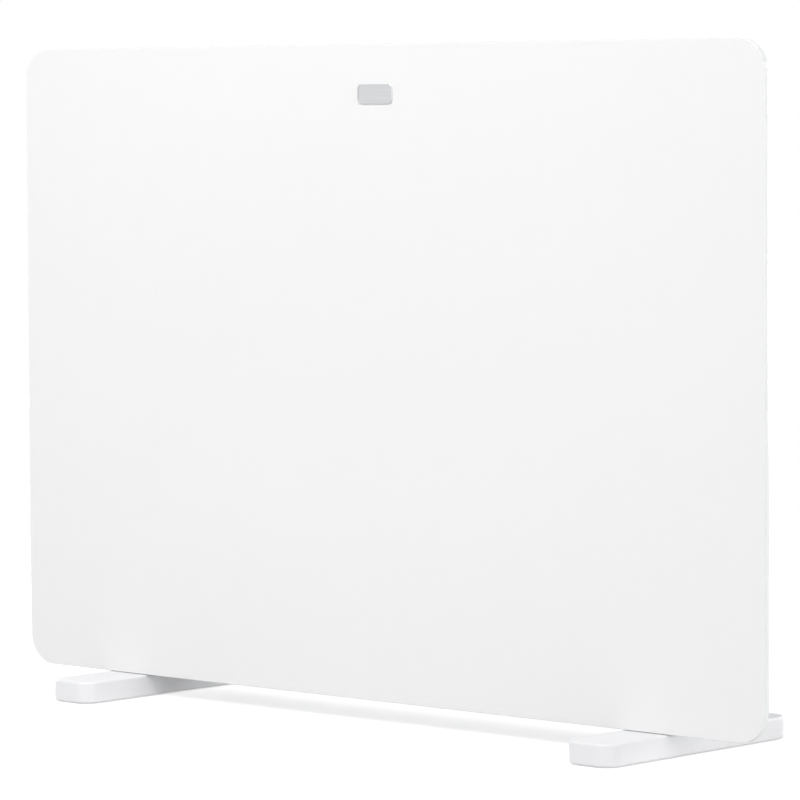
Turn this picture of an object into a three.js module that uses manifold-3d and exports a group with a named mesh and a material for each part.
// Convector heater with a glass front, standing on two moulded feet.
// Millimetres. +X runs to the viewer's right, +Y to the back and +Z up.
// The origin lies on the floor, midway between the feet and midway along them.

import * as THREE from "three";
import { mergeVertices } from "three/addons/utils/BufferGeometryUtils.js";
import Module from "manifold-3d";

const wasm = await Module();
wasm.setup();

// Clearances and cuts
const fitGap = 0.3; // between pieces that seat on each other
const runGap = 0.5; // round pieces that turn or rock
const overrun = 2; // how far a cut runs past the face that it opens

// Front glass
const glassWidth = 684;
const glassHeight = 450;
const glassThickness = 4;
const glassCornerRadius = 22;
const glassArris = 0.6;

// Bond strips between the glass and its carrier
const bondThickness = 1.4;
const bondWidth = 12;
const bondInset = 6; // from the carrier's edge to a strip
const bondEndGap = 6; // from a side strip's end to the strip across it

// Folded sheet metal
const sheet = 1;
const shieldSheet = 0.8;

// Front carrier
const carrierReveal = 2; // how far its edge lies inside the casing's edge
const carrierCornerRadius = 4;
const carrierFlangeInset = 24; // from the casing's side to the flange's end
const carrierFlangeDepth = 14;
const hookWidth = 12;
const hookDrop = 6;
const hookBelowTop = 8; // from the casing's top to the hook's upper face
const hookShares = [-0.7, -0.25, 0.25, 0.7]; // of half the casing's width

// Rear casing
const glassMargin = 70; // of the glass past the end caps
const casingDrop = 20; // from the top of the glass to the casing's top
const bodyDepth = 68; // from the back of the glass to the casing's back wall
const casingCornerRadius = 10;
const casingLip = 12;
const swageDepth = 1.2;
const swageWidth = 14;
const swageSlope = 2.5;
const swageInset = 62; // from the casing's side to a swage's end
const lowerSwageRise = 32; // above the casing's underside
const upperSwageDrop = 106; // below the casing's top
const carrierSwageShares = [0.24, 0.5, 0.76]; // of the casing's height

// Inlet slots in the casing's bottom wall
const inletColumns = 7;
const inletRows = 3;
const inletInset = 63; // from the casing's side to the first column's cell
const inletBridge = 10; // between the columns
const inletSlotWidth = 5;
const inletRowPitch = 12;
const inletCentreShare = 0.55; // of the casing's depth, from its front

// Keyholes in the casing's back wall
const keyholeSpacing = 300;
const keyholeDrop = 46; // below the casing's top
const keyholeHeadRadius = 4.5;
const keyholeNeckWidth = 4.6;
const keyholeNeckLength = 9;

// Outlet opening and its grille
const outletInset = 52; // from the casing's side to the opening
const outletSetback = 9; // from the casing's front edge to the opening
const outletRearMargin = 9.7; // from the opening to the casing's back
const grilleFlange = 6;
const grilleFlangeThickness = 1.5;
const grilleCornerRadius = 3;
const grilleWall = 1.5;
const grilleDepth = 10; // from the flange's underside to the collar's lower edge
const bladeCount = 7;
const bladeThickness = 1.3;
const bladeLean = 30; // degrees from upright, towards the front
const bladeInset = 0.5; // from the grille's upper and lower faces to the blades
const grilleRibCount = 3;
const grilleRibThickness = 1.4;
const grilleRibDepth = 7;
const clipWidth = 10;
const clipReach = 0.9;
const clipHeight = 2.4;
const clipShares = [-0.75, -0.25, 0.25, 0.75]; // of half the opening's width

// End caps
const capWidth = 20;
const capWall = 2.4;
const capFillet = 3;
const capFrontRadius = 4;
const spigotLength = 12;
const spigotWall = 1.8;
const capRibCount = 4;
const capRibDepth = 4;
const capRibThickness = 1.6;
const capScrewRise = 54; // of the lower screws, above the casing's underside
const capScrewDrop = 46; // of the upper screws, below the casing's top
const capBossRadius = 4;
const capBossLength = 9;

// Control panel in the right end cap, set out downwards from the casing's top
const panelRecess = 1.5;
const panelSideMargin = 10; // from the cap's front and back to the panel
const panelDrop = 22; // from the casing's top to the panel's upper edge
const knobDrop = 32; // from the panel's upper edge to the knob's axis
const lampDrop = 31; // from the knob's axis to the lamp
const switchDrop = 21; // from the lamp to the upper switch
const switchPitch = 28;
const panelFoot = 20; // from the lower switch to the panel's lower edge
const panelCornerRadius = 6;

// Thermostat and knob
const thermostatWidth = 26;
const thermostatHeight = 30;
const thermostatDepth = 18;
const bushingRadius = 4.8;
const bushingProud = 0.8;
const shaftRadius = 3;
const shaftFlat = 2.2; // from the shaft's axis to its flat
const shaftLength = 16; // in front of the panel
const shaftRoot = 14; // inside the thermostat
const knobRadius = 19;
const knobTopRadius = 14.5;
const knobLength = 16;
const knobSkirt = 3.5;
const knobEdge = 1.5;
const knobWall = 2.2;
const knobClear = 0.5; // from the cap's outer face to the knob
const knobHubRadius = 6;
const fluteCount = 14;
const fluteRadius = 1.6;
const pointerWidth = 1.8;
const pointerLength = 9;
const pointerProud = 0.6;

// Rocker switches
const bezelLip = 1; // round the switch's body
const bezelThickness = 2;
const bezelRadius = 1.2;
const switchBodyWidth = 13;
const switchBodyHeight = 19;
const switchBodyDepth = 12;
const switchWall = 1.5;
const switchFloor = 4;
const snapReach = 0.8;
const snapLength = 3;
const rockerAngle = 8; // degrees either side of level
const rockerEndGap = 0.8; // from a rocker's ends to the housing's walls
const rockerProud = 1.6; // of a level rocker's ends above the bezel
const rockerDip = 2; // from its ends to its waist
const rockerDepth = 2; // below the axle
const rockerTaper = 1.7; // at each end, from the axle to the foot
const axleSetback = 1; // from the panel's face to the rocker's axle
const axleRadius = 1.1;

// Push-on terminals
const tabWidth = 4.8;
const tabThickness = 0.8;
const tabLength = 7;

// Pilot lamp
const lampRadius = 3.2;
const lampFlangeRadius = 4.4;
const lampFlangeThickness = 1;
const lampDome = 2;
const lampDepth = 10;

// Bulkhead between the hot chamber and the controls
const bulkheadSetback = 47; // from the casing's right side
const bulkheadFlange = 9;
const bulkheadNotch = 3; // clearance round the carrier's flange
const leadHoleRadius = 4;

// Heating element
const elementRise = 134; // of its axis, above the casing's underside
const elementLeftGap = 62; // from the casing's left side
const elementRightGap = 55; // from the bulkhead
const elementClear = 12; // from the element to the carrier and to the back wall
const elementHalfHeight = 30;
const elementTubeRadius = 6.4;
const armThickness = 1.8;
const finThickness = 1.4;
const finPitch = 7;
const finsPerSide = 1;
const finSegments = 8;
const finCut = 3;
const solidCore = 12; // from the axis to the bottom of the cuts
const rodRadius = 3.3;
const rodReach = 13; // of the rod past the element's ends
const pinRadius = 1.6;
const pinLength = 10;

// Element brackets and insulators
const bracketSetback = 7; // from the element's end to the bracket
const bracketHalfHeight = 22;
const bracketFront = 14; // from the element's axis to the bracket's front edge
const bracketFlange = 14;
const bracketCornerRadius = 4;
const insulatorRadius = 6.7;
const insulatorRim = 3;
const insulatorRimThickness = 2.4;

// Heat shields
const shieldBelow = 80; // from the element's axis to the shields' lower edges
const shieldAbove = 140; // from the element's axis to the shields' upper edges
const shieldFoot = 10;
const rearShieldGap = 6; // from the back wall to the rear shield
const frontShieldGap = 8; // from the carrier to the front shield

// Thermal cut-out and its bracket
const cutoutRise = 135; // of its shelf, above the element's axis
const cutoutShelfLength = 34;
const cutoutShelfWidth = 22;
const cutoutFoot = 20;
const cutoutReach = 18; // from the bulkhead to the cut-out's axis
const cutoutCapRadius = 7.7;
const cutoutFlangeRadius = 10;
const cutoutFlangeThickness = 1;
const cutoutBodyRadius = 6.5;
const cutoutBodyHeight = 9;
const cutoutCapDrop = 7;

// Tip-over switch
const tipDrop = 35; // from the cut-out's shelf to the switch's top
const tipHeight = 54;
const tipClear = 8; // from the switch to the carrier and to the back wall
const tipDepth = 16;
const tipWall = 2;
const tipCornerRadius = 3;
const tipCoverThickness = 1.6;
const tipPivotBelowTop = 11;
const tipPinRadius = 1.5;
const tipHubRadius = 4;
const tipArmWidth = 3;
const tipArmLength = 27;
const tipWeightRadius = 7;
const tipWeightThickness = 8;
const tipSideGap = 1.5; // between the weight and the walls beside it

// Terminal block
const blockWays = 3;
const blockPitch = 8;
const blockRise = 66; // above the casing's underside
const blockHeight = 28;
const blockDepth = 11;
const blockBaseDepth = 4;
const blockGap = 10; // from the bulkhead to the block
const wellRadius = 2.2;
const wellDepth = 5;
const wireHoleRadius = 2.1;

// Cord inlet bush
const bushSetback = 24; // from the casing's right side
const bushRise = 40; // above the casing's underside
const bushGrooveRadius = 8;
const bushOuterRadius = 11;
const bushInnerRadius = 9.5;
const bushBore = 4.5;
const bushRim = 2.5;

// Internal leads
const leadRadius = 1.3;
const leadSides = 8;
const sectionsPerPoint = 3; // along a lead, from one point of its path to the next
const leadStub = 8; // straight run at each end
const leadPlug = 2; // of a lead's end inside the terminal block
const leadClear = 12; // from a lead's path to what it goes round

// Feet
const footLength = 190;
const footWidth = 40;
const footHeight = 16;
const footCornerRadius = 12;
const footTopFillet = 2;
const footBottomFillet = 1;
const footWall = 2.4;
const footInset = 80.5; // from the glass's side edge to the foot's outer side
const footReach = 59; // of the feet in front of the glass
const footRibThickness = 1.6;
const footRibDepth = 9;
const footCrossRibShares = [-0.55, -0.28, 0.42, 0.62]; // of half the foot's length
const footBossRadius = 5.5;
const footBossLength = 8;

// Foot pads
const padRadius = 9;
const padProud = 1;
const padSunk = 1.5;
const padSeatWall = 2;
const padInset = 18; // from the foot's end to the pad's centre

// Screws
const footScrewShares = [0.26, 0.76]; // of the casing's depth, from its front
const collarRadius = 4.4;
const collarHeight = 3;
const screwHeadRadius = 4;
const screwHeadHeight = 1.8;
const footScrewRadius = 2;
const footScrewEnd = 4; // above the collar
const capScrewRadius = 1.5;
const carrierScrewRadius = 1.6;
const carrierScrewEnd = 5; // above the carrier's flange
const carrierScrewSpacing = 300;

// Levels and planes that the sizes above give
const bodyBottom = footHeight + fitGap;
const glassTop = bodyBottom + glassHeight;
const casingTop = glassTop - casingDrop;
const casingHeight = casingTop - bodyBottom;
const casingWidth = glassWidth - 2 * (glassMargin + capWidth);
const glassFrontY = footReach - footLength / 2;
const glassBackY = glassFrontY + glassThickness;
const carrierFrontY = glassBackY + bondThickness + 2 * fitGap;
const carrierBackY = carrierFrontY + sheet;
const casingFrontY = carrierBackY + fitGap;
const casingBackY = glassBackY + bodyDepth;
const backWallY = casingBackY - sheet; // inner face of the back wall
const floorZ = bodyBottom + sheet; // inner face of the bottom wall
const roofZ = casingTop - sheet; // inner face of the top wall
const casingDepth = casingBackY - casingFrontY;
const casingHalf = casingWidth / 2;
const capInnerX = casingHalf + fitGap;
const capOuterX = casingHalf + capWidth;
const panelFaceX = capOuterX - panelRecess;
const panelBackX = panelFaceX - capWall;
const controlY = (casingFrontY + casingBackY) / 2;
const elementY = (carrierBackY + backWallY) / 2;
const elementZ = bodyBottom + elementRise;
const footX = glassWidth / 2 - footInset - footWidth / 2;
const seatY = backWallY - fitGap; // for what stands on the back wall
const bulkheadX = casingHalf - bulkheadSetback;
const panelTop = casingTop - panelDrop;
const knobZ = panelTop - knobDrop;
const lampZ = knobZ - lampDrop;
const upperSwitchZ = lampZ - switchDrop;
const lowerSwitchZ = upperSwitchZ - switchPitch;
const panelBottom = lowerSwitchZ - panelFoot;
const panelWidth = casingDepth - 2 * panelSideMargin;
const knobLift = panelRecess + knobClear; // from the panel to the knob
const keyholeZ = casingTop - keyholeDrop;
const capScrewZs = [bodyBottom + capScrewRise, casingTop - capScrewDrop];

// How finely round forms are faceted
const cornerSteps = 4;
const glassCornerSteps = 8;
const roundSteps = 16;
const smallRoundSteps = 10;
const fluteSides = 6;
const boreSides = 8;
const pointMerge = 1e-4;

// Colours and surfaces
const finishes = {
  whiteGlass: { color: 0xf3f4f4, roughness: 0.06, metalness: 0 },
  whitePlastic: { color: 0xeeeff2, roughness: 0.42, metalness: 0 },
  whiteSteel: { color: 0xe9eaea, roughness: 0.45, metalness: 0.1 },
  greyPlastic: { color: 0x8b8e92, roughness: 0.5, metalness: 0 },
  darkPlastic: { color: 0x2c2e31, roughness: 0.5, metalness: 0 },
  silicone: { color: 0xb9bcbd, roughness: 0.8, metalness: 0 },
  rubber: { color: 0x3a3b3d, roughness: 0.85, metalness: 0 },
  galvanised: { color: 0xb4b8bb, roughness: 0.4, metalness: 0.9 },
  aluminium: { color: 0xc3c6c9, roughness: 0.35, metalness: 0.95 },
  steel: { color: 0x9fa3a6, roughness: 0.3, metalness: 1 },
  ceramic: { color: 0xe6e1d6, roughness: 0.6, metalness: 0 },
  lampAmber: { color: 0xd9822b, roughness: 0.15, metalness: 0 },
  leadSleeve: { color: 0xd8d4cc, roughness: 0.7, metalness: 0 },
};

// Local X, Y and Z of a profile's own frame, turned to run along a world axis
const prismTurns = {
  x: new THREE.Matrix4().makeBasis(vector(0, 1, 0), vector(0, 0, 1), vector(1, 0, 0)),
  y: new THREE.Matrix4().makeBasis(vector(1, 0, 0), vector(0, 0, 1), vector(0, -1, 0)),
  z: new THREE.Matrix4(),
};
const latheTurns = {
  x: new THREE.Matrix4().makeBasis(vector(0, -1, 0), vector(1, 0, 0), vector(0, 0, 1)),
  y: new THREE.Matrix4(),
  z: new THREE.Matrix4().makeBasis(vector(1, 0, 0), vector(0, 0, 1), vector(0, -1, 0)),
};

function vector(x, y, z) {
  return new THREE.Vector3(x, y, z);
}

// Solids

function solidFrom(geometry) {
  geometry.deleteAttribute("normal");
  geometry.deleteAttribute("uv");
  const merged = mergeVertices(geometry, pointMerge);
  return new wasm.Manifold(
    new wasm.Mesh({
      numProp: 3,
      vertProperties: merged.attributes.position.array,
      triVerts: new Uint32Array(merged.index.array),
    })
  );
}

function geometryFrom(solid) {
  const mesh = solid.getMesh();
  const geometry = new THREE.BufferGeometry();
  geometry.setAttribute("position", new THREE.BufferAttribute(mesh.vertProperties, 3));
  geometry.setIndex(new THREE.BufferAttribute(mesh.triVerts, 1));
  const faceted = geometry.toNonIndexed();
  faceted.computeVertexNormals();
  return faceted;
}

function joined(solids) {
  return solids.reduce((whole, next) => whole.add(next));
}

function block([x0, x1], [y0, y1], [z0, z1]) {
  const geometry = new THREE.BoxGeometry(x1 - x0, y1 - y0, z1 - z0);
  geometry.translate((x0 + x1) / 2, (y0 + y1) / 2, (z0 + z1) / 2);
  return solidFrom(geometry);
}

// An outline pushed along an axis. Its own two directions are Y and Z along "x",
// X and Z along "y", and X and Y along "z".
function prism(outline, axis, from, to, { round = 0, roundFacets = 2 } = {}) {
  const geometry = new THREE.ExtrudeGeometry(outline, {
    depth: to - from - 2 * round,
    bevelEnabled: round > 0,
    bevelThickness: round,
    bevelSize: round,
    bevelOffset: -round,
    bevelSegments: roundFacets,
  });
  const start = axis === "y" ? -to : from;
  geometry.translate(0, 0, start + round);
  geometry.applyMatrix4(prismTurns[axis]);
  return solidFrom(geometry);
}

// A profile of [radius, height] pairs turned about an axis through a centre
function turned(profile, axis, [x, y, z], steps = roundSteps) {
  const points = profile.map(([radius, along]) => new THREE.Vector2(radius, along));
  const geometry = new THREE.LatheGeometry(points, steps);
  geometry.applyMatrix4(latheTurns[axis]);
  geometry.translate(x, y, z);
  return solidFrom(geometry);
}

function cylinder(radius, axis, from, to, centre, steps = smallRoundSteps) {
  const profile = [[0, from], [radius, from], [radius, to], [0, to]];
  return turned(profile, axis, centre, steps);
}

function arcPoints(u, v, radius, start, end, steps) {
  return Array.from({ length: steps + 1 }, (_, i) => {
    const angle = start + ((end - start) * i) / steps;
    return new THREE.Vector2(u + radius * Math.cos(angle), v + radius * Math.sin(angle));
  });
}

// Corner radii run from the lower left corner round to the upper left one
function roundedRect(left, right, bottom, top, radii, steps = cornerSteps) {
  const each = Array.isArray(radii) ? radii : Array(4).fill(radii);
  const [lowerLeft, lowerRight, upperRight, upperLeft] = each;
  const quarter = Math.PI / 2;
  const corners = [
    [left + lowerLeft, bottom + lowerLeft, lowerLeft, 2 * quarter],
    [right - lowerRight, bottom + lowerRight, lowerRight, 3 * quarter],
    [right - upperRight, top - upperRight, upperRight, 0],
    [left + upperLeft, top - upperLeft, upperLeft, quarter],
  ];
  const points = corners.flatMap(([u, v, radius, start]) =>
    radius > 0 ? arcPoints(u, v, radius, start, start + quarter, steps) : [new THREE.Vector2(u, v)]
  );
  return new THREE.Shape(points);
}

function polygon(points) {
  return new THREE.Shape(points.map(([u, v]) => new THREE.Vector2(u, v)));
}

// The same solid on the heater's other side
function mirroredX(solid) {
  const { vertProperties, triVerts } = solid.getMesh();
  const points = vertProperties.map((value, i) => (i % 3 === 0 ? -value : value));
  const faces = new Uint32Array(triVerts);
  for (let i = 0; i < faces.length; i += 3) {
    [faces[i + 1], faces[i + 2]] = [triVerts[i + 2], triVerts[i + 1]];
  }
  return new wasm.Manifold(new wasm.Mesh({ numProp: 3, vertProperties: points, triVerts: faces }));
}

function spread(count, pitch) {
  return Array.from({ length: count }, (_, i) => (i - (count - 1) / 2) * pitch);
}

const heater = new THREE.Group();
const sides = [-1, 1]; // left and right, or front and back

function addPart(name, solid, finish, { at = [0, 0, 0], turnY = 0 } = {}) {
  const mesh = new THREE.Mesh(geometryFrom(solid), new THREE.MeshStandardMaterial(finishes[finish]));
  mesh.name = name;
  mesh.position.set(...at);
  mesh.rotation.y = turnY;
  heater.add(mesh);
}

// Front: glass, bond strips and carrier

const carrierHalf = capOuterX - carrierReveal;
const carrierBottom = bodyBottom + carrierReveal;
const carrierTop = casingTop - carrierReveal;

function frontGlass() {
  const half = glassWidth / 2;
  const outline = roundedRect(-half, half, bodyBottom, glassTop, glassCornerRadius, glassCornerSteps);
  return prism(outline, "y", glassFrontY, glassBackY, { round: glassArris, roundFacets: 1 });
}

function bondStrips() {
  const depth = [glassBackY + fitGap, carrierFrontY - fitGap];
  const reach = carrierHalf - bondInset;
  const low = carrierBottom + bondInset;
  const high = carrierTop - bondInset;
  const sideSpan = [low + bondWidth + bondEndGap, high - bondWidth - bondEndGap];
  return {
    top: block([-reach, reach], depth, [high - bondWidth, high]),
    bottom: block([-reach, reach], depth, [low, low + bondWidth]),
    left: block([-reach, -reach + bondWidth], depth, sideSpan),
    right: block([reach - bondWidth, reach], depth, sideSpan),
  };
}

// A pressed rib across a sheet: the ridge to add on one face and the groove to cut in the other.
// side is 1 where the ridge stands towards +Y.
function swage(height, ridgeFaceY, side) {
  const span = [swageInset - casingHalf, casingHalf - swageInset];
  const across = (faceY, widen) => {
    const foot = swageWidth / 2 + widen;
    const crest = foot - swageSlope;
    const crestY = faceY + side * swageDepth;
    const rootY = faceY - side * sheet * swageRootShare;
    const points = [
      [rootY, height - foot],
      [crestY, height - crest],
      [crestY, height + crest],
      [rootY, height + foot],
    ];
    return prism(polygon(points), "x", ...span);
  };
  const ridge = across(ridgeFaceY, 0);
  const groove = across(ridgeFaceY - side * sheet, -sheet * swageRootShare);
  return { ridge, groove };
}

const swageRootShare = 0.5; // of the sheet's thickness

function withSwage(plate, height, ridgeFaceY, side) {
  const { ridge, groove } = swage(height, ridgeFaceY, side);
  return plate.add(ridge).subtract(groove);
}

const hookTopZ = casingTop - hookBelowTop;
const hookBackY = casingFrontY + sheet + fitGap + sheet;

function carrierHook(x) {
  const width = [x - hookWidth / 2, x + hookWidth / 2];
  const arm = block(width, [carrierFrontY, hookBackY], [hookTopZ - sheet, hookTopZ]);
  const drop = block(width, [hookBackY - sheet, hookBackY], [hookTopZ - hookDrop, hookTopZ]);
  return arm.add(drop);
}

const carrierFlangeZ = floorZ + fitGap;
const carrierScrewY = carrierBackY + carrierFlangeDepth / 2;

function frontCarrier() {
  const outline = roundedRect(-carrierHalf, carrierHalf, carrierBottom, carrierTop, carrierCornerRadius);
  let plate = prism(outline, "y", carrierFrontY, carrierBackY);
  for (const share of carrierSwageShares) {
    plate = withSwage(plate, bodyBottom + share * casingHeight, carrierFrontY, -1);
  }
  const flangeHalf = casingHalf - carrierFlangeInset;
  const flangeBackY = carrierBackY + carrierFlangeDepth;
  const flangeRise = [carrierFlangeZ, carrierFlangeZ + sheet];
  const flange = block([-flangeHalf, flangeHalf], [carrierFrontY, flangeBackY], flangeRise);
  const hooks = hookShares.map((share) => carrierHook(share * casingHalf));
  const throughFlange = [carrierFlangeZ - overrun, carrierFlangeZ + overrun];
  const holes = spread(2, carrierScrewSpacing).map((x) =>
    cylinder(carrierScrewRadius + fitGap, "z", ...throughFlange, [x, carrierScrewY, 0])
  );
  return joined([plate, flange, ...hooks]).subtract(joined(holes));
}

// Rear casing

function casingOutline(inset) {
  const rear = casingCornerRadius - inset;
  const bounds = [casingFrontY + inset, casingBackY - inset, bodyBottom + inset, casingTop - inset];
  const front = Math.max(capFrontRadius - inset, 0);
  return roundedRect(...bounds, [front, rear, rear, front]);
}

function casingShell() {
  const rear = casingCornerRadius;
  const outline = roundedRect(casingFrontY, casingBackY, bodyBottom, casingTop, [0, rear, rear, 0]);
  const inner = rear - sheet;
  const hollow = roundedRect(casingFrontY + sheet, backWallY, floorZ, roofZ, [0, inner, inner, 0]);
  const cutSpan = [-casingHalf - overrun, casingHalf + overrun];
  const mouthDepth = [casingFrontY - overrun, casingFrontY + 2 * sheet];
  const mouth = block(cutSpan, mouthDepth, [floorZ, casingTop - casingLip]);
  const wrap = prism(outline, "x", -casingHalf, casingHalf);
  return wrap.subtract(prism(hollow, "x", ...cutSpan)).subtract(mouth);
}

function inletSlots() {
  const centreY = casingFrontY + inletCentreShare * casingDepth;
  const half = inletSlotWidth / 2;
  const pitch = (casingWidth - 2 * inletInset) / inletColumns;
  const slotLength = pitch - inletBridge;
  const slots = spread(inletColumns, pitch).flatMap((x) =>
    spread(inletRows, inletRowPitch).map((row) => {
      const y = centreY + row;
      const ends = [x - slotLength / 2, x + slotLength / 2];
      const outline = roundedRect(...ends, y - half, y + half, half * slotRoundShare, 1);
      return prism(outline, "z", bodyBottom - overrun, floorZ + overrun);
    })
  );
  return joined(slots);
}

const slotRoundShare = 0.9; // of half the slot's width

function keyhole(x) {
  const through = [backWallY - overrun, casingBackY + overrun];
  const head = cylinder(keyholeHeadRadius, "y", ...through, [x, 0, keyholeZ]);
  const neck = block(
    [x - keyholeNeckWidth / 2, x + keyholeNeckWidth / 2],
    through,
    [keyholeZ, keyholeZ + keyholeNeckLength]
  );
  return head.add(neck);
}

const outletFrontY = casingFrontY + outletSetback;
const outletBackY = casingBackY - outletRearMargin;
const outletHalf = casingHalf - outletInset;
const capScrewX = casingHalf - spigotLength / 2;
const footScrewYs = footScrewShares.map((share) => casingFrontY + share * casingDepth);
const footScrewPlaces = sides.flatMap((side) => footScrewYs.map((y) => [side * footX, y]));

function rearCasing() {
  let casing = casingShell();
  for (const height of [bodyBottom + lowerSwageRise, casingTop - upperSwageDrop]) {
    casing = withSwage(casing, height, backWallY, -1);
  }
  const collars = footScrewPlaces.map(([x, y]) =>
    cylinder(collarRadius, "z", bodyBottom, floorZ + collarHeight, [x, y, 0])
  );
  const outlet = block(
    [-outletHalf, outletHalf],
    [outletFrontY, outletBackY],
    [roofZ - overrun, casingTop + overrun]
  );
  const hookSlots = hookShares.map((share) =>
    block(
      [share * casingHalf - hookWidth / 2 - runGap, share * casingHalf + hookWidth / 2 + runGap],
      [casingFrontY - overrun, casingFrontY + sheet + overrun],
      [hookTopZ - sheet - hookDrop / 2, roofZ - fitGap]
    )
  );
  const footHoles = footScrewPlaces.map(([x, y]) =>
    cylinder(footScrewRadius + fitGap, "z", bodyBottom - overrun, floorZ + collarHeight + overrun, [x, y, 0])
  );
  const carrierHoles = spread(2, carrierScrewSpacing).map((x) =>
    cylinder(carrierScrewRadius + fitGap, "z", bodyBottom - overrun, floorZ + overrun, [x, carrierScrewY, 0])
  );
  const throughBack = [backWallY - overrun, casingBackY + overrun];
  const capHoles = sides.flatMap((side) =>
    capScrewZs.map((z) => cylinder(capScrewRadius + fitGap, "y", ...throughBack, [side * capScrewX, 0, z]))
  );
  const bushHole = cylinder(bushGrooveRadius + fitGap, "y", ...throughBack, [bushX, 0, bushZ], roundSteps);
  const keyholes = spread(2, keyholeSpacing).map(keyhole);
  const openings = [outlet, ...hookSlots, inletSlots(), bushHole, ...keyholes];
  const screwHoles = [...footHoles, ...carrierHoles, ...capHoles];
  return joined([casing, ...collars]).subtract(joined([...openings, ...screwHoles]));
}

// Outlet grille: a flanged collar with leaning blades, ribs across them and snap clips

const grilleSeatZ = casingTop + fitGap;
const grilleTopZ = grilleSeatZ + grilleFlangeThickness;
const grilleBottomZ = grilleSeatZ - grilleDepth;

function grilleBlade(y) {
  const low = grilleBottomZ + bladeInset;
  const high = grilleTopZ - bladeInset;
  const lean = Math.tan(THREE.MathUtils.degToRad(bladeLean)) * (high - low) / 2;
  const half = bladeThickness / 2 / Math.cos(THREE.MathUtils.degToRad(bladeLean));
  const outline = polygon([
    [y + lean - half, low],
    [y + lean + half, low],
    [y - lean + half, high],
    [y - lean - half, high],
  ]);
  const reach = outletHalf - fitGap - grilleWall / 2;
  return prism(outline, "x", -reach, reach);
}

function grilleClip(x, wallY, side) {
  const top = roofZ - fitGap;
  const outline = polygon([
    [wallY - side * grilleWall / 2, top - clipHeight],
    [wallY, top - clipHeight],
    [wallY + side * (fitGap + clipReach), top],
    [wallY - side * grilleWall / 2, top],
  ]);
  return prism(outline, "x", x - clipWidth / 2, x + clipWidth / 2);
}

function outletGrille() {
  const half = outletHalf - fitGap;
  const frontY = outletFrontY + fitGap;
  const backY = outletBackY - fitGap;
  const edge = grilleFlange;
  const flangeDepth = [frontY - edge, backY + edge];
  const flangeOutline = roundedRect(-half - edge, half + edge, ...flangeDepth, grilleCornerRadius);
  const flange = prism(flangeOutline, "z", grilleSeatZ, grilleTopZ);
  const collar = block([-half, half], [frontY, backY], [grilleBottomZ, grilleTopZ]);
  const mouth = block(
    [-half + grilleWall, half - grilleWall],
    [frontY + grilleWall, backY - grilleWall],
    [grilleBottomZ - overrun, grilleTopZ + overrun]
  );
  const frame = flange.add(collar).subtract(mouth);
  const pitch = (backY - frontY) / (bladeCount + 1);
  const blades = spread(bladeCount, pitch).map((offset) => grilleBlade((frontY + backY) / 2 + offset));
  const ribs = spread(grilleRibCount, (2 * outletHalf) / (grilleRibCount + 1)).map((x) =>
    block(
      [x - grilleRibThickness / 2, x + grilleRibThickness / 2],
      [frontY + grilleWall / 2, backY - grilleWall / 2],
      [grilleBottomZ, grilleBottomZ + grilleRibDepth]
    )
  );
  const clips = clipShares.flatMap((share) => [
    grilleClip(share * half, backY, 1),
    grilleClip(share * half, frontY, -1),
  ]);
  return joined([frame, ...blades, ...ribs, ...clips]);
}

// End caps: a shell with a spigot that plugs into the casing's end

function endCapShell() {
  const clear = capFillet + overrun;
  const skin = prism(casingOutline(0), "x", capInnerX - clear, capOuterX, { round: capFillet });
  const trim = block(
    [capInnerX - 2 * clear, capInnerX],
    [casingFrontY - overrun, casingBackY + overrun],
    [bodyBottom - overrun, casingTop + overrun]
  );
  const cavity = prism(casingOutline(capWall), "x", capInnerX - overrun, capOuterX - capWall);
  const seat = sheet + fitGap;
  const spigotStart = casingHalf - spigotLength;
  const spigot = prism(casingOutline(seat), "x", spigotStart, capInnerX + capWall);
  const boreSpan = [spigotStart - overrun, capInnerX + capWall + overrun];
  const bore = prism(casingOutline(seat + spigotWall), "x", ...boreSpan);
  const ribPitch = (panelBottom - bodyBottom) / (capRibCount + 1);
  const ribs = spread(capRibCount, ribPitch).map((offset) => capRib(offset + capRibCentre));
  const bosses = capScrewZs.map((z) =>
    cylinder(capBossRadius, "y", seatY - capBossLength, seatY, [capScrewX, 0, z])
  );
  const shell = skin.subtract(trim).subtract(cavity).add(spigot.subtract(bore));
  return joined([shell, ...ribs, ...bosses]).subtract(joined([spigotNotch(), ...capPilots()]));
}

const capRibCentre = (bodyBottom + panelBottom) / 2;

function capRib(z) {
  return block(
    [capOuterX - capWall - capRibDepth, capOuterX - capWall / 2],
    [casingFrontY + capWall / 2, casingBackY - capWall / 2],
    [z - capRibThickness / 2, z + capRibThickness / 2]
  );
}

// Room in the spigot for the collars and screws that hold the foot
function spigotNotch() {
  const [front, back] = footScrewYs;
  const clear = collarRadius + fitGap + runGap;
  return block(
    [casingHalf - spigotLength - overrun, casingHalf - fitGap],
    [front - clear, back + clear],
    [bodyBottom, floorZ + collarHeight + footScrewEnd + runGap]
  );
}

function capPilots() {
  const depth = [seatY - capBossLength + capWall / 2, seatY + overrun];
  return capScrewZs.map((z) => cylinder(capScrewRadius + fitGap, "y", ...depth, [capScrewX, 0, z]));
}

const switchZs = { upper: upperSwitchZ, lower: lowerSwitchZ };

function controlCutouts() {
  const through = [panelBackX - overrun, capOuterX + overrun];
  const shaftHole = cylinder(bushingRadius + fitGap, "x", ...through, [0, controlY, knobZ], roundSteps);
  const lampHole = cylinder(lampRadius + fitGap, "x", ...through, [0, controlY, lampZ]);
  const switchHoles = Object.values(switchZs).map((z) =>
    block(
      through,
      [controlY - switchBodyWidth / 2 - fitGap, controlY + switchBodyWidth / 2 + fitGap],
      [z - switchBodyHeight / 2 - fitGap, z + switchBodyHeight / 2 + fitGap]
    )
  );
  return joined([shaftHole, lampHole, ...switchHoles]);
}

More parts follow.
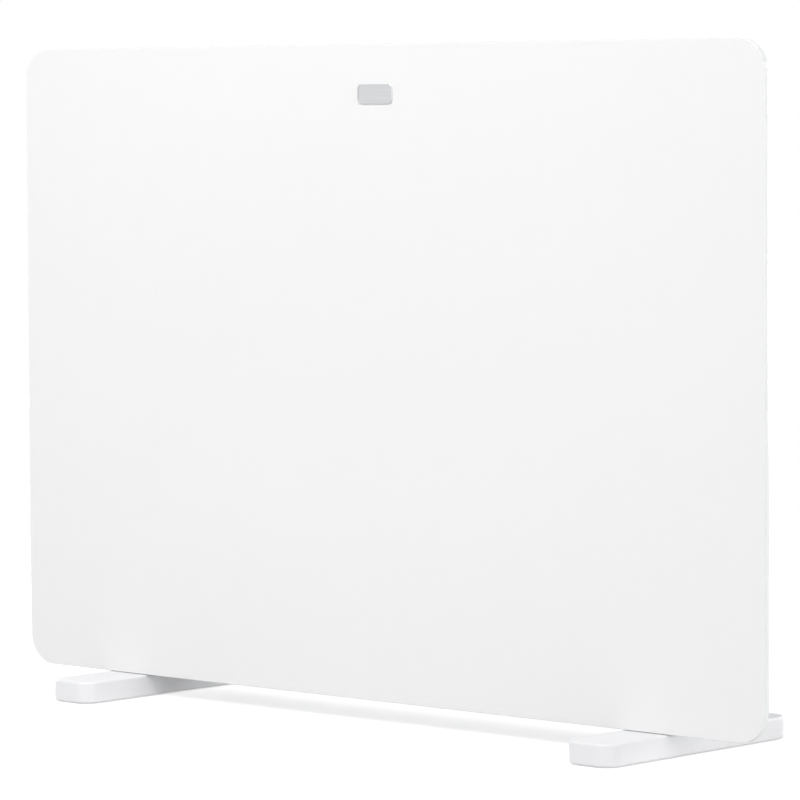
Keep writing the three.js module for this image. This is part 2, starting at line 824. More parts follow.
function controlCap() {
  const outline = (grow) => {
    const half = panelWidth / 2 + grow;
    const rise = [panelBottom - grow, panelTop + grow];
    return roundedRect(controlY - half, controlY + half, ...rise, panelCornerRadius + grow);
  };
  const backing = prism(outline(capWall), "x", panelBackX, capOuterX - capWall / 2);
  const recess = prism(outline(0), "x", panelFaceX, capOuterX + overrun);
  return endCapShell().add(backing).subtract(recess).subtract(controlCutouts());
}

// Bulkhead between the hot chamber and the controls

const cutoutShelfZ = elementZ + cutoutRise;
const blockBottom = bodyBottom + blockRise;

const leadHoles = {
  cutout: [controlY + thermostatWidth / 4, cutoutShelfZ + 2 * cutoutFoot],
  neutral: [backWallY - bulkheadFlange, blockBottom + 2 * blockHeight],
};

function controlBulkhead() {
  const frontY = casingFrontY + sheet + fitGap;
  const span = [floorZ + fitGap, roofZ - fitGap];
  const web = block([bulkheadX, bulkheadX + sheet], [frontY, seatY], span);
  const flange = block([bulkheadX, bulkheadX + bulkheadFlange], [seatY - sheet, seatY], span);
  const reach = [bulkheadX - overrun, bulkheadX + bulkheadFlange + overrun];
  const flangeNotch = block(
    reach,
    [frontY - overrun, carrierBackY + carrierFlangeDepth + bulkheadNotch],
    [bodyBottom, carrierFlangeZ + sheet + bulkheadNotch]
  );
  const corner = casingCornerRadius;
  const cornerCuts = [
    [bodyBottom, floorZ + corner],
    [roofZ - corner, casingTop],
  ].map((rise) => block(reach, [seatY - corner, seatY + overrun], rise));
  const throughWeb = [bulkheadX - overrun, bulkheadX + sheet + overrun];
  const holes = Object.values(leadHoles).map(([y, z]) =>
    cylinder(leadHoleRadius, "x", ...throughWeb, [0, y, z])
  );
  return web.add(flange).subtract(joined([flangeNotch, ...cornerCuts, ...holes]));
}

// Heat shields: sheets held off a wall by folded feet. side is 1 where the wall lies towards +Y.

const elementLeft = elementLeftGap - casingHalf;
const elementRight = bulkheadX - elementRightGap;
const shieldBottom = elementZ - shieldBelow;
const shieldTop = elementZ + shieldAbove;

function heatShield(wallY, gap, side) {
  const span = [elementLeft, elementRight];
  const faceY = wallY - side * gap;
  const depth = (a, b) => [Math.min(a, b), Math.max(a, b)];
  const plate = block(span, depth(faceY, faceY + side * shieldSheet), [shieldBottom, shieldTop]);
  const legs = [
    [shieldBottom, shieldBottom + shieldSheet],
    [shieldTop - shieldSheet, shieldTop],
  ].map((rise) => block(span, depth(faceY, wallY), rise));
  const feet = [
    [shieldBottom - shieldFoot, shieldBottom + shieldSheet],
    [shieldTop - shieldSheet, shieldTop + shieldFoot],
  ].map((rise) => block(span, depth(wallY - side * shieldSheet, wallY), rise));
  return joined([plate, ...legs, ...feet]);
}

// Heating element: an extruded aluminium cross with upright fins, cut across into segments

const elementHalfDepth = (backWallY - carrierBackY) / 2 - elementClear;

function elementSection() {
  const quadrants = [[1, 1], [-1, 1], [-1, -1], [1, -1]];
  const slope = new THREE.Vector2(elementHalfDepth, elementHalfHeight).normalize();
  const off = armThickness / 2;
  const arms = quadrants.map(([sy, sz]) => {
    const tipY = elementHalfDepth - off;
    const tipZ = elementHalfHeight;
    const points = [
      [-off * slope.y, off * slope.x],
      [off * slope.y, -off * slope.x],
      [tipY + off * slope.y, tipZ - off * slope.x],
      [tipY - off * slope.y, tipZ + off * slope.x],
    ].map(([y, z]) => [elementY + sy * y, elementZ + sz * z]);
    return prism(polygon(points), "x", elementLeft, elementRight);
  });
  const finPlaces = spread(2 * finsPerSide + 1, finPitch);
  const fins = sides.flatMap((sz) =>
    finPlaces.map((y) => {
      const root = Math.abs(y) * (elementHalfHeight / elementHalfDepth);
      const rise = [elementZ + sz * root, elementZ + sz * elementHalfHeight].sort((a, b) => a - b);
      const depth = [elementY + y - finThickness / 2, elementY + y + finThickness / 2];
      return block([elementLeft, elementRight], depth, rise);
    })
  );
  const centre = [0, elementY, elementZ];
  const tube = cylinder(elementTubeRadius, "x", elementLeft, elementRight, centre, roundSteps);
  return joined([tube, ...arms, ...fins]);
}

function elementFins() {
  const through = [elementLeft - overrun, elementRight + overrun];
  const bore = cylinder(rodRadius + fitGap, "x", ...through, [0, elementY, elementZ]);
  const pitch = (elementRight - elementLeft) / finSegments;
  const depth = [elementY - elementHalfDepth - overrun, elementY + elementHalfDepth + overrun];
  const high = elementZ + elementHalfHeight + overrun;
  const low = elementZ - elementHalfHeight - overrun;
  const cuts = Array.from({ length: finSegments - 1 }, (_, i) => {
    const x = elementLeft + (i + 1) * pitch;
    const width = [x - finCut / 2, x + finCut / 2];
    const upper = block(width, depth, [elementZ + solidCore, high]);
    return upper.add(block(width, depth, [low, elementZ - solidCore]));
  });
  return elementSection().subtract(joined([bore, ...cuts]));
}

const rodLeft = elementLeft - rodReach;
const rodRight = elementRight + rodReach;

function elementRod() {
  const profile = [
    [0, rodLeft - pinLength],
    [pinRadius, rodLeft - pinLength],
    [pinRadius, rodLeft],
    [rodRadius, rodLeft],
    [rodRadius, rodRight],
    [pinRadius, rodRight],
    [pinRadius, rodRight + pinLength],
    [0, rodRight + pinLength],
  ];
  return turned(profile, "x", [0, elementY, elementZ], smallRoundSteps);
}

// A grooved ceramic ring round the rod, seated in a bracket's slot. webX is the web's inner face.
function elementInsulator(webX, side) {
  const near = webX - side * (fitGap + insulatorRimThickness);
  const far = webX + side * (sheet + fitGap + insulatorRimThickness);
  const [start, end] = [Math.min(near, far), Math.max(near, far)];
  const rim = insulatorRadius + insulatorRim;
  const bore = rodRadius + fitGap;
  const profile = [
    [bore, start],
    [rim, start],
    [rim, start + insulatorRimThickness],
    [insulatorRadius, start + insulatorRimThickness],
    [insulatorRadius, end - insulatorRimThickness],
    [rim, end - insulatorRimThickness],
    [rim, end],
    [bore, end],
    [bore, start],
  ];
  return turned(profile, "x", [0, elementY, elementZ], smallRoundSteps);
}

function elementBracket(webX, side) {
  const outer = webX + side * sheet;
  const web = [Math.min(webX, outer), Math.max(webX, outer)];
  const flangeEnd = webX + side * bracketFlange;
  const flange = [Math.min(webX, flangeEnd), Math.max(webX, flangeEnd)];
  const rise = [elementZ - bracketHalfHeight, elementZ + bracketHalfHeight];
  const frontY = elementY - bracketFront;
  const radius = bracketCornerRadius;
  const plate = prism(roundedRect(frontY, seatY, ...rise, [radius, 0, 0, radius]), "x", ...web);
  const foot = prism(roundedRect(...flange, ...rise, radius), "y", seatY - sheet, seatY);
  const corner = block(web, [seatY - 2 * sheet, seatY], rise);
  const slotHalf = insulatorRadius + fitGap;
  const throughWeb = [web[0] - overrun, web[1] + overrun];
  const seat = cylinder(slotHalf, "x", ...throughWeb, [0, elementY, elementZ], roundSteps);
  const slotDepth = [elementY - slotHalf, elementY + slotHalf];
  const slot = block(throughWeb, slotDepth, [elementZ, rise[1] + overrun]);
  return joined([plate, foot, corner]).subtract(seat).subtract(slot);
}

// Thermal cut-out on a small bracket beside the chamber's hot air

const cutoutX = bulkheadX - cutoutReach;
const cutoutY = elementY;

function cutoutBracket() {
  const wallX = bulkheadX - fitGap;
  const width = [cutoutY - cutoutShelfWidth / 2, cutoutY + cutoutShelfWidth / 2];
  const shelf = block([wallX - cutoutShelfLength, wallX], width, [cutoutShelfZ, cutoutShelfZ + sheet]);
  const foot = block([wallX - sheet, wallX], width, [cutoutShelfZ, cutoutShelfZ + cutoutFoot]);
  const through = [cutoutShelfZ - overrun, cutoutShelfZ + sheet + overrun];
  const hole = cylinder(cutoutCapRadius + fitGap, "z", ...through, [cutoutX, cutoutY, 0], roundSteps);
  return shelf.add(foot).subtract(hole);
}

const cutoutSeatZ = cutoutShelfZ + sheet + fitGap;
const cutoutTabZ = cutoutSeatZ + cutoutFlangeThickness + cutoutBodyHeight;

function thermalCutout() {
  const shoulder = cutoutSeatZ + cutoutFlangeThickness;
  const profile = [
    [0, cutoutSeatZ - cutoutCapDrop],
    [cutoutCapRadius, cutoutSeatZ - cutoutCapDrop],
    [cutoutCapRadius, cutoutSeatZ],
    [cutoutFlangeRadius, cutoutSeatZ],
    [cutoutFlangeRadius, shoulder],
    [cutoutBodyRadius, shoulder],
    [cutoutBodyRadius, cutoutTabZ],
    [0, cutoutTabZ],
  ];
  const body = turned(profile, "z", [cutoutX, cutoutY, 0]);
  const tabs = sides.map((side) => {
    const y = cutoutY + side * cutoutBodyRadius / 2;
    return block(
      [cutoutX - tabWidth / 2, cutoutX + tabWidth / 2],
      [y - tabThickness / 2, y + tabThickness / 2],
      [cutoutTabZ - overrun, cutoutTabZ + tabLength]
    );
  });
  return joined([body, ...tabs]);
}

// Thermostat, its shaft and the knob

const thermostatFaceX = panelBackX - fitGap;
const thermostatBackX = thermostatFaceX - thermostatDepth;
const tabEndX = thermostatBackX - tabLength;

function thermostatBody() {
  const half = thermostatWidth / 2;
  const rise = [knobZ - thermostatHeight / 2, knobZ + thermostatHeight / 2];
  const outline = roundedRect(controlY - half, controlY + half, ...rise, thermostatWall);
  const body = prism(outline, "x", thermostatBackX, thermostatFaceX);
  const axis = [0, controlY, knobZ];
  const bushingSpan = [thermostatFaceX - overrun, panelFaceX + bushingProud];
  const bushing = cylinder(bushingRadius, "x", ...bushingSpan, axis, roundSteps);
  const boreStart = thermostatFaceX - shaftRoot - fitGap;
  const bore = cylinder(shaftRadius + fitGap, "x", boreStart, panelFaceX + knobLift, axis, roundSteps);
  const tabs = sides.map((side) => {
    const y = controlY + side * thermostatWidth / 4;
    return block(
      [tabEndX, thermostatBackX + overrun],
      [y - tabWidth / 2, y + tabWidth / 2],
      [knobZ - tabThickness / 2, knobZ + tabThickness / 2]
    );
  });
  return joined([body, bushing, ...tabs]).subtract(bore);
}

const thermostatWall = 2;

function shaftOutline(radius, flat) {
  const angle = Math.acos(flat / radius);
  const [start, end] = [Math.PI / 2 + angle, Math.PI * 5 / 2 - angle];
  return new THREE.Shape(arcPoints(0, 0, radius, start, end, smallRoundSteps));
}

function thermostatShaft() {
  const rootEnd = thermostatFaceX - shaftRoot;
  const end = panelFaceX + shaftLength;
  const flatStart = panelFaceX + knobLift;
  const root = cylinder(shaftRadius, "x", rootEnd, flatStart, [0, 0, 0]);
  return root.add(prism(shaftOutline(shaftRadius, shaftFlat), "x", flatStart - overrun, end));
}

// The knob's own frame has its underside at x = 0 and its axis along X
function controlKnob() {
  const side = [
    [knobRadius, 0],
    [knobRadius, knobSkirt - knobEdge],
    [knobRadius - knobEdge, knobSkirt],
    [knobTopRadius + knobEdge, knobLength - knobEdge],
    [knobTopRadius, knobLength],
  ];
  const body = turned([[0, 0], ...side, [0, knobLength]], "x", [0, 0, 0], 2 * fluteCount);
  const flutes = Array.from({ length: fluteCount }, (_, i) => {
    const angle = (2 * Math.PI * (i + 1 / 2)) / fluteCount;
    const reach = knobRadius - knobEdge / 2;
    const centre = [0, reach * Math.cos(angle), reach * Math.sin(angle)];
    return cylinder(fluteRadius, "x", knobSkirt, knobLength + overrun, centre, fluteSides);
  });
  const roomTop = knobLength - knobWall;
  const roomProfile = [
    [knobHubRadius, -overrun],
    [knobRadius - knobWall - knobEdge, -overrun],
    [knobTopRadius - knobWall, roomTop],
    [knobHubRadius, roomTop],
    [knobHubRadius, -overrun],
  ];
  const room = turned(roomProfile, "x", [0, 0, 0]);
  const boreEnd = shaftLength - knobLift + fitGap;
  const bore = prism(shaftOutline(shaftRadius + fitGap, shaftFlat + fitGap), "x", -overrun, boreEnd);
  const pointer = block(
    [knobLength - knobWall, knobLength + pointerProud],
    [-pointerWidth / 2, pointerWidth / 2],
    [knobTopRadius - pointerLength - knobEdge, knobTopRadius - knobEdge]
  );
  return joined([body, pointer]).subtract(joined([...flutes, room, bore]));
}

// Rocker switch. Its own frame has the panel's face at x = 0 and its middle at y = z = 0.

const axleX = -axleSetback;
const bezelFaceX = fitGap + bezelThickness;

function switchSnap(side) {
  const z = side * switchBodyHeight / 2;
  const start = -capWall - fitGap;
  const points = [
    [start, z - side * switchWall / 2],
    [start, z + side * snapReach],
    [start - snapLength, z],
    [start - snapLength, z - side * switchWall / 2],
  ];
  return prism(polygon(points), "y", -switchBodyWidth / 4, switchBodyWidth / 4);
}

function switchHousing() {
  const halfWidth = switchBodyWidth / 2;
  const halfHeight = switchBodyHeight / 2;
  const [bezelY, bezelZ] = [halfWidth + bezelLip, halfHeight + bezelLip];
  const bezel = prism(roundedRect(-bezelY, bezelY, -bezelZ, bezelZ, bezelRadius, 2), "x", fitGap, bezelFaceX);
  const bodySpan = [-switchBodyDepth, fitGap + bezelThickness / 2];
  const body = block(bodySpan, [-halfWidth, halfWidth], [-halfHeight, halfHeight]);
  const well = block(
    [-switchBodyDepth + switchFloor, bezelFaceX + overrun],
    [-halfWidth + switchWall, halfWidth - switchWall],
    [-halfHeight + switchWall, halfHeight - switchWall]
  );
  const across = [-halfWidth - overrun, halfWidth + overrun];
  const axleHole = cylinder(axleRadius + fitGap, "y", ...across, [axleX, 0, 0]);
  const tabs = sides.map((side) => {
    const z = side * switchTabShare * halfHeight;
    return block(
      [-switchBodyDepth - tabLength, -switchBodyDepth + switchFloor / 2],
      [-tabWidth / 2, tabWidth / 2],
      [z - tabThickness / 2, z + tabThickness / 2]
    );
  });
  return joined([bezel, body, ...sides.map(switchSnap), ...tabs]).subtract(well).subtract(axleHole);
}

const switchTabShare = 0.45; // of half the switch body's height

// The rocker's own frame has its axle along Y through the origin
function rocker() {
  const half = switchBodyHeight / 2 - switchWall - rockerEndGap;
  const ends = bezelFaceX - axleX + rockerProud;
  const outline = polygon([
    [-rockerDepth, rockerTaper - half],
    [0, -half],
    [ends, -half],
    [ends - rockerDip, 0],
    [ends, half],
    [0, half],
    [-rockerDepth, half - rockerTaper],
  ]);
  const halfWidth = switchBodyWidth / 2 - switchWall - fitGap;
  const axleEnd = switchBodyWidth / 2 - fitGap;
  const axle = cylinder(axleRadius, "y", -axleEnd, axleEnd, [0, 0, 0]);
  return prism(outline, "y", -halfWidth, halfWidth).add(axle);
}

function pilotLamp() {
  const seat = panelFaceX + fitGap;
  const rim = seat + lampFlangeThickness;
  const profile = [
    [0, seat - lampDepth],
    [lampRadius, seat - lampDepth],
    [lampRadius, seat],
    [lampFlangeRadius, seat],
    [lampFlangeRadius, rim],
    [lampRadius, rim],
    [lampRadius * lampShoulderShare, rim + lampDome * lampShoulderShare],
    [0, rim + lampDome],
  ];
  return turned(profile, "x", [0, controlY, lampZ]);
}

const lampShoulderShare = 0.7; // of the lens's radius and of its dome

// Terminal block on the back wall

const blockStart = bulkheadX + blockGap;
const blockEndX = blockStart + blockWays * blockPitch;
const blockFrontY = seatY - blockBaseDepth - blockDepth;
const wayXs = spread(blockWays, blockPitch).map((offset) => (blockStart + blockEndX) / 2 + offset);
const wayY = seatY - blockBaseDepth - blockDepth / 2;

function terminalBlock() {
  const rise = [blockBottom, blockBottom + blockHeight];
  const base = block([blockStart, blockEndX], [seatY - blockBaseDepth, seatY], rise);
  const middle = (rise[0] + rise[1]) / 2;
  const ways = wayXs.map((x) => {
    const half = blockPitch * wayShare / 2;
    const towerRise = [rise[0] + towerInset, rise[1] - towerInset];
    return block([x - half, x + half], [blockFrontY, seatY - blockBaseDepth / 2], towerRise);
  });
  const throughBlock = [rise[0] - overrun, rise[1] + overrun];
  const wires = wayXs.map((x) =>
    cylinder(wireHoleRadius, "z", ...throughBlock, [x, wayY, 0], boreSides)
  );
  const wellSpan = [blockFrontY - overrun, blockFrontY + wellDepth];
  const wells = wayXs.flatMap((x) =>
    spread(2, blockHeight / 2).map((offset) =>
      cylinder(wellRadius, "y", ...wellSpan, [x, 0, middle + offset], boreSides)
    )
  );
  return joined([base, ...ways]).subtract(joined([...wires, ...wells]));
}

const wayShare = 0.86; // of the block's pitch
const towerInset = 2; // from the base's ends to the towers

const bushX = casingHalf - bushSetback;
const bushZ = bodyBottom + bushRise;

function cordInletBush() {
  const grooveBack = casingBackY + fitGap;
  const profile = [
    [bushBore, seatY - bushRim],
    [bushInnerRadius, seatY - bushRim],
    [bushInnerRadius, seatY],
    [bushGrooveRadius, seatY],
    [bushGrooveRadius, grooveBack],
    [bushOuterRadius, grooveBack],
    [bushOuterRadius, grooveBack + bushRim / 2],
    [bushOuterRadius - bushRim / 2, grooveBack + bushRim],
    [bushBore, grooveBack + bushRim],
    [bushBore, seatY - bushRim],
  ];
  return turned(profile, "y", [bushX, 0, bushZ]);
}

// Tip-over switch on the bulkhead: a box, its cover, a pin and a pendulum

const tipStartX = bulkheadX + sheet + fitGap;
const tipCoverX = tipStartX + tipDepth + fitGap;
const tipY = elementY;
const tipWidth = backWallY - carrierBackY - 2 * tipClear;
const tipTop = cutoutShelfZ - tipDrop;
const tipBottom = tipTop - tipHeight;
const pivotZ = tipTop - tipPivotBelowTop;

function tipOutline(inset) {
  const half = tipWidth / 2 - inset;
  const radius = Math.max(tipCornerRadius - inset, fitGap);
  return roundedRect(tipY - half, tipY + half, tipBottom + inset, tipTop - inset, radius, 2);
}

function tipSwitchHousing() {
  const box = prism(tipOutline(0), "x", tipStartX, tipStartX + tipDepth);
  const room = prism(tipOutline(tipWall), "x", tipStartX + tipWall, tipStartX + tipDepth + overrun);
  const socketDepth = [tipStartX + fitGap, tipStartX + tipWall + overrun];
  const socket = cylinder(tipPinRadius + fitGap, "x", ...socketDepth, [0, tipY, pivotZ]);
  const tabs = sides.map((side) => {
    const y = tipY + side * tipWidth * tipTabShare;
    const x = tipStartX + tipDepth / 2;
    return block(
      [x - tabWidth / 2, x + tabWidth / 2],
      [y - tabThickness / 2, y + tabThickness / 2],
      [tipTop - tipWall / 2, tipTop + tabLength]
    );
  });
  return joined([box.subtract(room), ...tabs]).subtract(socket);
}

const tipTabShare = 0.2; // of the switch's width

function tipSwitchCover() {
  const plate = prism(tipOutline(0), "x", tipCoverX, tipCoverX + tipCoverThickness);
  const through = [tipCoverX - overrun, tipCoverX + tipCoverThickness + overrun];
  const hole = cylinder(tipPinRadius + fitGap, "x", ...through, [0, tipY, pivotZ]);
  return plate.subtract(hole);
}

function tipPivotPin() {
  const span = [tipStartX + 2 * fitGap, tipCoverX + tipCoverThickness];
  return cylinder(tipPinRadius, "x", ...span, [0, tipY, pivotZ]);
}

function tipPendulum() {
  const start = tipStartX + tipWall + tipSideGap;
  const end = start + tipWeightThickness;
  const hub = cylinder(tipHubRadius, "x", start, end, [0, tipY, pivotZ], roundSteps);
  const weight = cylinder(tipWeightRadius, "x", start, end, [0, tipY, pivotZ - tipArmLength], roundSteps);
  const inset = tipWeightThickness / 4;
  const arm = block(
    [start + inset, end - inset],
    [tipY - tipArmWidth / 2, tipY + tipArmWidth / 2],
    [pivotZ - tipArmLength, pivotZ]
  );
  const bore = cylinder(tipPinRadius + fitGap, "x", start - overrun, end + overrun, [0, tipY, pivotZ]);
  return joined([hub, weight, arm]).subtract(bore);
}

// Feet. Each foot's own frame has its middle at x = y = 0 and the floor at z = 0.

const padYs = sides.map((side) => side * (footLength / 2 - padInset));
const padTop = padProud + padSunk;

function footOutline(inset) {
  const halfWidth = footWidth / 2 - inset;
  const halfLength = footLength / 2 - inset;
  return roundedRect(-halfWidth, halfWidth, -halfLength, halfLength, footCornerRadius - inset);
}

function footShell() {
  const deep = footHeight;
  const topRounded = prism(footOutline(0), "z", padProud - deep, footHeight, { round: footTopFillet });
  const footRounded = prism(footOutline(0), "z", padProud, footHeight + deep, { round: footBottomFillet });
  const ceiling = footHeight - footWall;
  const hollow = prism(footOutline(footWall), "z", padProud - overrun, ceiling);
  const halfWidth = footWidth / 2 - footWall / 2;
  const halfLength = footLength / 2 - footWall / 2;
  const ribRise = [ceiling - footRibDepth, ceiling + footWall / 2];
  const spine = block([-footRibThickness / 2, footRibThickness / 2], [-halfLength, halfLength], ribRise);
  const crossRibs = footCrossRibShares.map((share) => {
    const y = share * footLength / 2;
    return block([-halfWidth, halfWidth], [y - footRibThickness / 2, y + footRibThickness / 2], ribRise);
  });
  const seats = padYs.map((y) =>
    cylinder(padRadius + padSeatWall, "z", padProud, footHeight - footWall / 2, [0, y, 0], roundSteps)
  );
  const bosses = footScrewYs.map((y) =>
    cylinder(footBossRadius, "z", ceiling - footBossLength, footHeight - footWall / 2, [0, y, 0])
  );
  const padRecesses = padYs.map((y) =>
    cylinder(padRadius + fitGap, "z", padProud - overrun, padTop + fitGap, [0, y, 0], roundSteps)
  );
  const screwHoles = footScrewYs.flatMap((y) => [
    cylinder(footScrewRadius + fitGap, "z", 0, footHeight + overrun, [0, y, 0]),
    cylinder(screwHeadRadius + runGap, "z", 0, ceiling - footBossLength, [0, y, 0]),
  ]);
  const shell = topRounded.intersect(footRounded).subtract(hollow);
  const cuts = joined([...padRecesses, ...screwHoles]);
  return joined([shell, spine, ...crossRibs, ...seats, ...bosses]).subtract(cuts);
}

function footPad() {
  return cylinder(padRadius, "z", 0, padTop, [0, 0, 0], roundSteps);
}

// Screws. Each screw's own frame has the underside of its head at zero, its shank towards +.
function screw(axis, shankRadius, shankLength, headFlip = 1) {
  const head = -screwHeadHeight;
  const domed = screwHeadRadius * screwDomeShare;
  const profile = [
    [0, head],
    [domed, head],
    [screwHeadRadius, head + screwHeadHeight / 2],
    [screwHeadRadius, 0],
    [shankRadius, 0],
    [shankRadius, shankLength],
    [0, shankLength],
  ];
  const flipped = headFlip > 0 ? profile : profile.map(([radius, along]) => [radius, -along]).reverse();
  return turned(flipped, axis, [0, 0, 0], boreSides);
}

const screwDomeShare = 0.7; // of the head's radius

// Internal leads: one sleeve each, along a smooth path between two terminals

const up = [0, 0, 1];
const towardsLeft = [-1, 0, 0];
const towardsRight = [1, 0, 0];

function along([x, y, z], [dx, dy, dz], distance) {
  return [x + dx * distance, y + dy * distance, z + dz * distance];
}

// The path leaves each end straight, in the way given there, and passes the points between
function leadPath(start, startWay, end, endWay, between) {
  return [start, along(start, startWay, leadStub), ...between, along(end, endWay, leadStub), end];
}

function lead(points) {
  const path = new THREE.CatmullRomCurve3(points.map((point) => vector(...point)), false, "centripetal");
  const steps = sectionsPerPoint * (points.length - 1);
  const section = new THREE.Shape(
    Array.from({ length: leadSides }, (_, i) => {
      const angle = (2 * Math.PI * i) / leadSides;
      return new THREE.Vector2(leadRadius * Math.cos(angle), leadRadius * Math.sin(angle));
    })
  );
  return solidFrom(new THREE.ExtrudeGeometry(section, { steps, extrudePath: path, bevelEnabled: false }));
}

const blockEnds = wayXs.map((x) => [x, wayY, blockBottom + blockHeight - towerInset - leadPlug]);
const tipTabX = tipStartX + tipDepth / 2;
const tipTabZ = tipTop + tabLength + fitGap;
const tipEnds = sides.map((side) => [tipTabX, tipY + side * tipWidth * tipTabShare, tipTabZ]);
const switchEnds = (height) =>
  sides.map((side) => [
    panelFaceX - switchBodyDepth - tabLength - fitGap,
    controlY,
    height + side * switchTabShare * switchBodyHeight / 2,
  ]);
const thermostatEnds = sides.map((side) => [tabEndX - fitGap, controlY + side * thermostatWidth / 4, knobZ]);
const cutoutEnds = sides.map((side) => [
  cutoutX,
  cutoutY + side * cutoutBodyRadius / 2,
  cutoutTabZ + tabLength + fitGap,
]);
const rodEndLeft = [rodLeft - pinLength - fitGap, elementY, elementZ];
const rodEndRight = [rodRight + pinLength + fitGap, elementY, elementZ];

// From the terminal block up behind the tip-over switch to its rear terminal
function liveLead() {
  const behindY = (tipY + tipWidth / 2 + seatY) / 2;
  const x = wayXs[0];
  const between = [
    [x, behindY, blockBottom + blockHeight + 2 * leadClear],
    [x, behindY, tipTop - leadClear],
    [x, behindY - leadRadius, tipTop + leadRadius],
    [(x + tipTabX) / 2, tipEnds[1][1] + leadClear, tipTabZ + leadStub],
  ];
  return lead(leadPath(blockEnds[0], up, tipEnds[1], up, between));
}

function switchedLead() {
  const end = switchEnds(lowerSwitchZ)[0];
  const between = [[tipCoverX + leadStub, tipY - leadStub / 2, tipTabZ + leadClear]];
  return lead(leadPath(tipEnds[0], up, end, towardsLeft, between));
}

function linkLead() {
  const start = switchEnds(lowerSwitchZ)[1];
  const end = switchEnds(upperSwitchZ)[0];
  const between = [[start[0] - leadClear, controlY, (start[2] + end[2]) / 2]];
  return lead(leadPath(start, towardsLeft, end, towardsLeft, between));
}

function thermostatLead() {
  const start = switchEnds(upperSwitchZ)[1];
  const end = thermostatEnds[0];
  const between = [[end[0] - leadClear, (start[1] + end[1]) / 2, (start[2] + end[2]) / 2]];
  return lead(leadPath(start, towardsLeft, end, towardsLeft, between));
}

// Through the bulkhead's upper hole to the cut-out's rear terminal
function cutoutLead() {
  const [holeY, holeZ] = leadHoles.cutout;
  const between = [
    [bulkheadX + 2 * leadClear, holeY, holeZ + 3 * leadClear],
    [bulkheadX + leadStub, holeY, holeZ],
    [bulkheadX - leadStub, holeY, holeZ],
  ];
  return lead(leadPath(thermostatEnds[1], towardsLeft, cutoutEnds[1], up, between));
}

// From the cut-out round the front of its bracket, down to the rod's right end
function elementLead() {
  const frontY = cutoutY - cutoutShelfWidth / 2 - leadClear / 2;
  const x = (cutoutX + bulkheadX) / 2;
  const between = [
    [(x + cutoutX) / 2, frontY, cutoutTabZ + leadClear],
    [x, frontY, cutoutShelfZ - leadClear],
    [x, frontY, (cutoutShelfZ + elementZ) / 2],
    [rodEndRight[0] + 2 * leadStub, (frontY + elementY) / 2, elementZ + 2 * leadClear],
  ];
  return lead(leadPath(cutoutEnds[0], up, rodEndRight, towardsRight, between));
}

// From the rod's left end along the foot of the back wall, through the bulkhead's lower hole
function neutralLead() {
  const [holeY, holeZ] = leadHoles.neutral;
  const wallY = seatY - leadClear / 2;
  const leftX = rodEndLeft[0] - leadClear;
  const rightX = bulkheadX - 3 * leadClear / 2;
  const runZ = floorZ + leadClear;
  const between = [
    [leftX, elementY + leadClear / 2, elementZ - 2 * leadClear],
    [leftX, wallY - leadClear / 2, runZ + 3 * leadClear],
    [leftX + leadClear, wallY, runZ],
    [leftX + 3 * leadClear, wallY, runZ],
    [rightX - 3 * leadClear, wallY, runZ],
    [rightX - leadClear, wallY, runZ],
    [rightX, wallY, runZ + 2 * leadClear],
    [rightX, wallY, holeZ - 3 * leadClear / 2],
    [bulkheadX - leadStub, holeY, holeZ],
    [bulkheadX + leadStub, holeY, holeZ],
  ];
  return lead(leadPath(rodEndLeft, towardsLeft, blockEnds[1], up, between));
}

// Assembly

addPart("front_glass", frontGlass(), "whiteGlass");
for (const [edge, strip] of Object.entries(bondStrips())) {
  addPart(`bond_strip_${edge}`, strip, "silicone");
}
addPart("front_carrier", frontCarrier(), "galvanised");
addPart("rear_casing", rearCasing(), "whiteSteel");
addPart("outlet_grille", outletGrille(), "whitePlastic");
addPart("end_cap_left", mirroredX(endCapShell()), "whitePlastic");
addPart("end_cap_right", controlCap(), "whitePlastic");
addPart("control_bulkhead", controlBulkhead(), "galvanised");
addPart("rear_heat_shield", heatShield(seatY, rearShieldGap, 1), "galvanised");
addPart("front_heat_shield", heatShield(carrierBackY + fitGap, frontShieldGap, -1), "galvanised");
addPart("element_fins", elementFins(), "aluminium");
addPart("element_rod", elementRod(), "steel");
const bracketWebs = [
  ["left", elementLeft - bracketSetback, -1],
  ["right", elementRight + bracketSetback, 1],
];
for (const [name, webX, side] of bracketWebs) {
  addPart(`element_bracket_${name}`, elementBracket(webX, side), "galvanised");
  addPart(`element_insulator_${name}`, elementInsulator(webX, side), "ceramic");
}
addPart("cutout_bracket", cutoutBracket(), "galvanised");
addPart("thermal_cutout", thermalCutout(), "ceramic");
addPart("thermostat_body", thermostatBody(), "darkPlastic");
addPart("thermostat_shaft", thermostatShaft(), "steel", { at: [0, controlY, knobZ] });
addPart("control_knob", controlKnob(), "greyPlastic", { at: [panelFaceX + knobLift, controlY, knobZ] });
for (const [name, height] of Object.entries(switchZs)) {
  addPart(`switch_housing_${name}`, switchHousing(), "darkPlastic", { at: [panelFaceX, controlY, height] });
  addPart(`switch_rocker_${name}`, rocker(), "darkPlastic", {
    at: [panelFaceX + axleX, controlY, height],
    turnY: THREE.MathUtils.degToRad(-rockerAngle),
  });
}
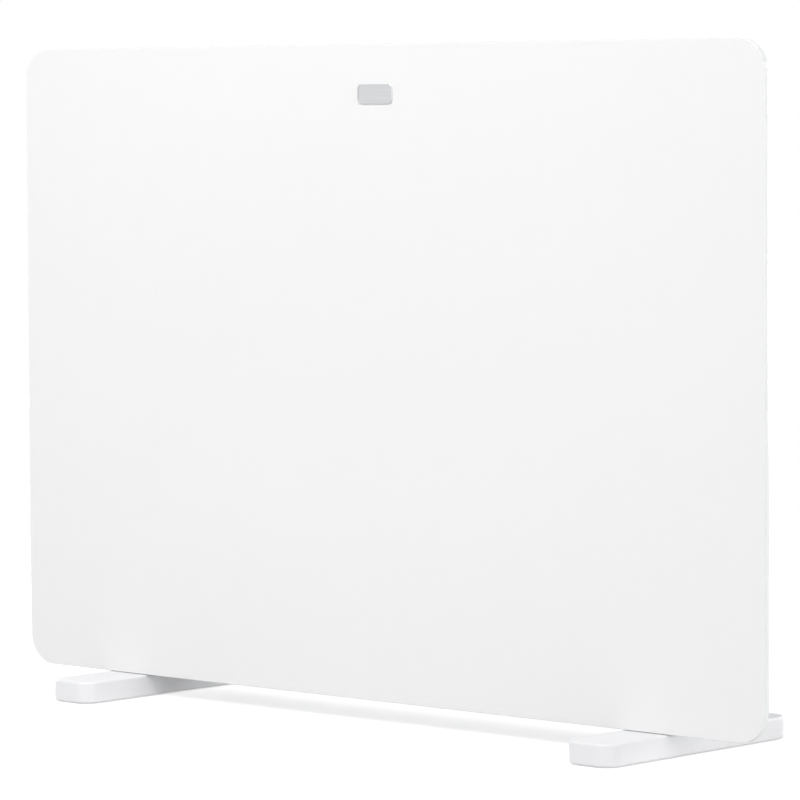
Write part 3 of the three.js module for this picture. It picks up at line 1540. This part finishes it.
addPart("pilot_lamp", pilotLamp(), "lampAmber");
addPart("terminal_block", terminalBlock(), "ceramic");
addPart("cord_inlet_bush", cordInletBush(), "rubber");
addPart("tip_switch_housing", tipSwitchHousing(), "darkPlastic");
addPart("tip_switch_cover", tipSwitchCover(), "darkPlastic");
addPart("tip_pivot_pin", tipPivotPin(), "steel");
addPart("tip_pendulum", tipPendulum(), "steel");

addPart("lead_live", liveLead(), "leadSleeve");
addPart("lead_switched", switchedLead(), "leadSleeve");
addPart("lead_link", linkLead(), "leadSleeve");
addPart("lead_thermostat", thermostatLead(), "leadSleeve");
addPart("lead_cutout", cutoutLead(), "leadSleeve");
addPart("lead_element", elementLead(), "leadSleeve");
addPart("lead_neutral", neutralLead(), "leadSleeve");

const footSides = { left: -footX, right: footX };
const ends = ["front", "rear"];
for (const [side, x] of Object.entries(footSides)) {
  addPart(`foot_${side}`, footShell(), "whitePlastic", { at: [x, 0, 0] });
  const headZ = footHeight - footWall - footBossLength - fitGap;
  const shankLength = floorZ + collarHeight + footScrewEnd - headZ;
  ends.forEach((end, i) => {
    addPart(`foot_pad_${side}_${end}`, footPad(), "rubber", { at: [x, padYs[i], 0] });
    addPart(`foot_screw_${side}_${end}`, screw("z", footScrewRadius, shankLength), "steel", {
      at: [x, footScrewYs[i], headZ],
    });
  });
}

const capScrewLength = casingBackY + fitGap - (seatY - capBossLength + capWall);
["left", "right"].forEach((side, i) => {
  const x = sides[i] * capScrewX;
  ["lower", "upper"].forEach((end, j) => {
    addPart(`cap_screw_${side}_${end}`, screw("y", capScrewRadius, capScrewLength, -1), "steel", {
      at: [x, casingBackY + fitGap, capScrewZs[j]],
    });
  });
});

const carrierHeadZ = bodyBottom - fitGap;
spread(2, carrierScrewSpacing).forEach((x, i) => {
  const length = carrierFlangeZ + sheet + carrierScrewEnd - carrierHeadZ;
  addPart(`carrier_screw_${["left", "right"][i]}`, screw("z", carrierScrewRadius, length), "steel", {
    at: [x, carrierScrewY, carrierHeadZ],
  });
});

export default heater;
